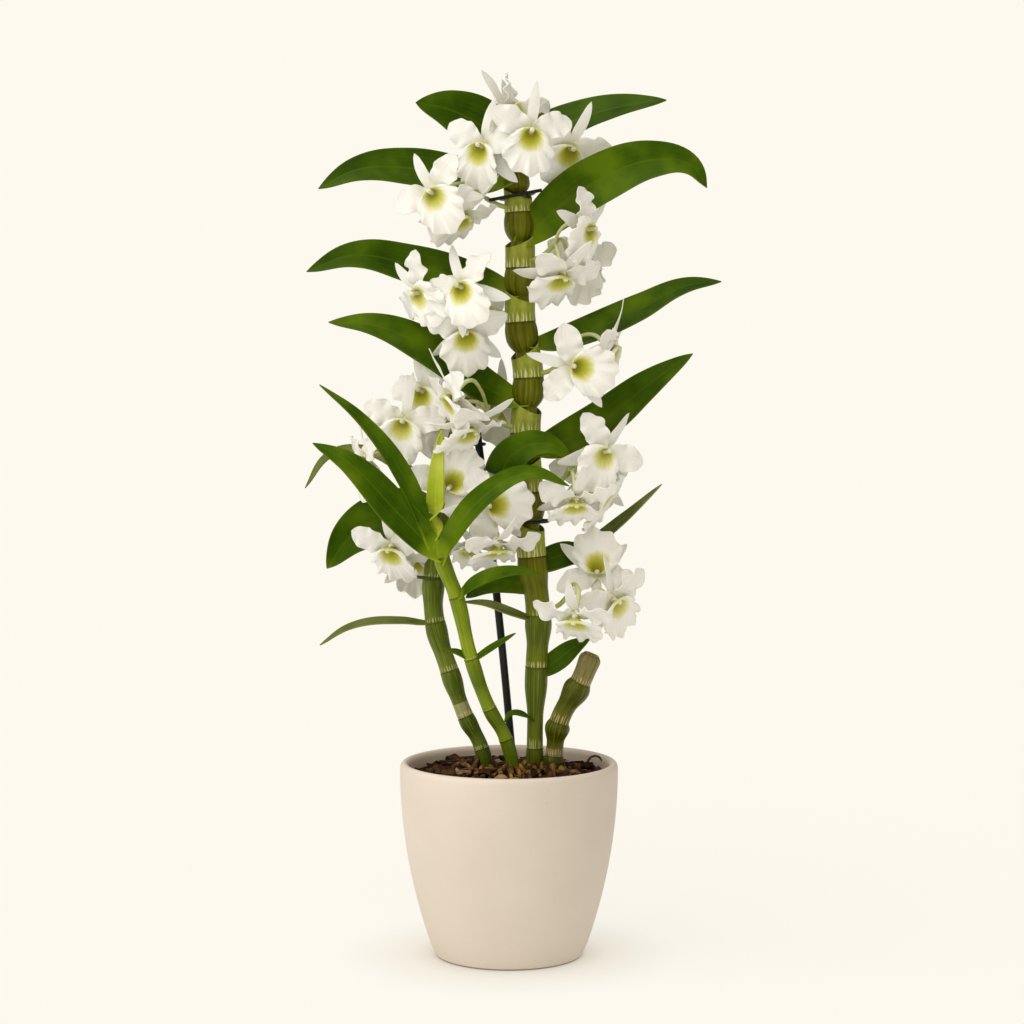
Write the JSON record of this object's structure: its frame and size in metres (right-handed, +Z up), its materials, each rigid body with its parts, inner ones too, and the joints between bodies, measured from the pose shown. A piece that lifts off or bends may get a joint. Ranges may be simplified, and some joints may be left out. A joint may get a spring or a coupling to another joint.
{
  "type": "dendrobium orchid in pot",
  "caption": "Potted dendrobium orchid: jointed canes with strap leaves and clusters of white flowers along the main cane, tied to thin stakes, in a tapered round-lipped ceramic pot.",
  "frame": {"origin": "middle of the pot's flat foot", "axes": "+Z up along the pot's axis and the canes, front towards -Y, +X to the right seen from the front"},
  "size_m": [0.258, 0.135, 0.5418],
  "materials": {
    "ceramic": "matte",
    "bark": "matte",
    "root": "matte",
    "cane": "satin",
    "old_cane": "satin",
    "shoot": "satin",
    "leaf": "satin",
    "young_leaf": "satin",
    "petal": "matte",
    "black_plastic": "satin"
  },
  "bodies": {
    "root": {"pot": "ceramic", "soil": "bark", "root_crown": "root", "main_cane": "cane", "cut_cane": "cane", "old_cane": "old_cane", "new_shoot": "shoot", "stake_main": "black_plastic", "stake_side": "black_plastic", "tie_top": "black_plastic", "tie_middle": "black_plastic", "tie_old_top": "black_plastic", "tie_old_low": "black_plastic", "leaf_main_01": "leaf", "leaf_main_02": "leaf", "leaf_main_03": "leaf", "leaf_main_04": "leaf", "leaf_main_05": "leaf", "leaf_main_06": "leaf", "leaf_main_07": "leaf", "leaf_main_08": "leaf", "leaf_main_09": "leaf", "leaf_main_10": "leaf", "leaf_main_11": "leaf", "leaf_main_12": "leaf", "leaf_main_13": "leaf", "leaf_main_14": "leaf", "leaf_main_15": "leaf", "leaf_shoot_1": "young_leaf", "leaf_shoot_2": "young_leaf", "leaf_shoot_3": "young_leaf", "leaf_shoot_4": "young_leaf", "leaf_shoot_5": "young_leaf", "leaf_shoot_6": "young_leaf", "leaf_shoot_7": "young_leaf", "leaf_old_1": "leaf", "leaf_old_2": "leaf", "leaf_old_3": "leaf", "spray_top": "petal", "spray_left_1": "petal", "spray_right_1": "petal", "spray_left_2": "petal", "spray_right_2": "petal", "spray_left_3": "petal", "spray_right_3": "petal", "spray_left_4": "petal", "spray_right_4": "petal", "spray_old_top": "petal", "spray_old_low": "petal"}
  },
  "joints": []
}
